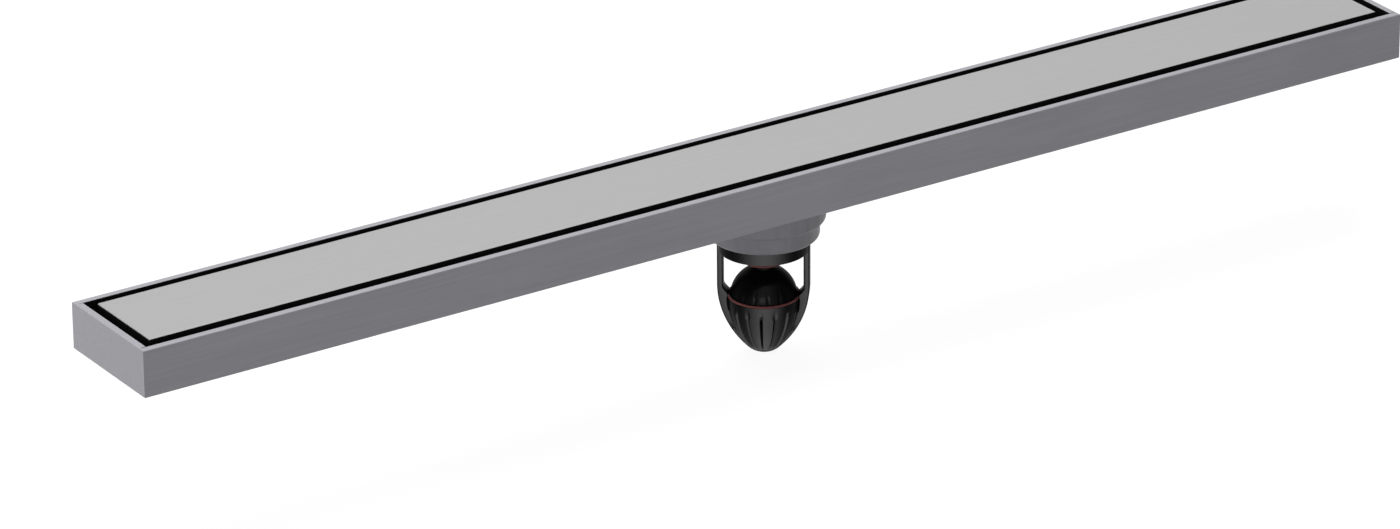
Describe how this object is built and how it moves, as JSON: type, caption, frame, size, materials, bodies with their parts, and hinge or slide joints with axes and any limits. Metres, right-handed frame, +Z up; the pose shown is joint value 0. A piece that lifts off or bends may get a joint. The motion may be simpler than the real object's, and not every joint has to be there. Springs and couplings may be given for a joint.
{
  "type": "linear shower drain",
  "caption": "Long steel floor drain: an open channel with a flat cover plate, a round stepped outlet under its middle and a black drop-in odour trap with a sprung dome.",
  "frame": {"origin": "on the outlet's axis, level with the top of the rim, which is the finished floor", "axes": "+X along the channel, +Y across it, +Z up"},
  "size_m": [0.762, 0.07, 0.1101],
  "materials": {
    "steel": "fine brushed",
    "cover_steel": "satin",
    "spring_steel": "bright",
    "black_plastic": "semi-gloss",
    "red_rubber": "satin"
  },
  "bodies": {
    "drain": {"channel_trough": "steel", "end_plate_left": "steel", "end_plate_right": "steel", "cover_panel": "cover_steel", "panel_support_1": "steel", "panel_support_2": "steel", "panel_support_3": "steel", "panel_support_4": "steel", "outlet_cup": "steel", "hair_strainer": "steel", "flange_gasket": "red_rubber", "core_sleeve": "black_plastic", "sleeve_seal": "red_rubber", "valve_cage": "black_plastic", "cup_seal": "red_rubber", "return_spring": "spring_steel"},
    "dome": {"valve_dome": "black_plastic", "crown_gasket": "red_rubber", "gasket_screw": "black_plastic", "guide_stem": "spring_steel"}
  },
  "joints": [
    {"name": "dome_drop", "type": "slide", "parent": "drain", "child": "dome", "axis": [0, 0, -1], "range_m": [0, 0.005], "stiffness_N_per_m": 30, "springref_m": -0.01, "deforming": ["return_spring"]}
  ]
}
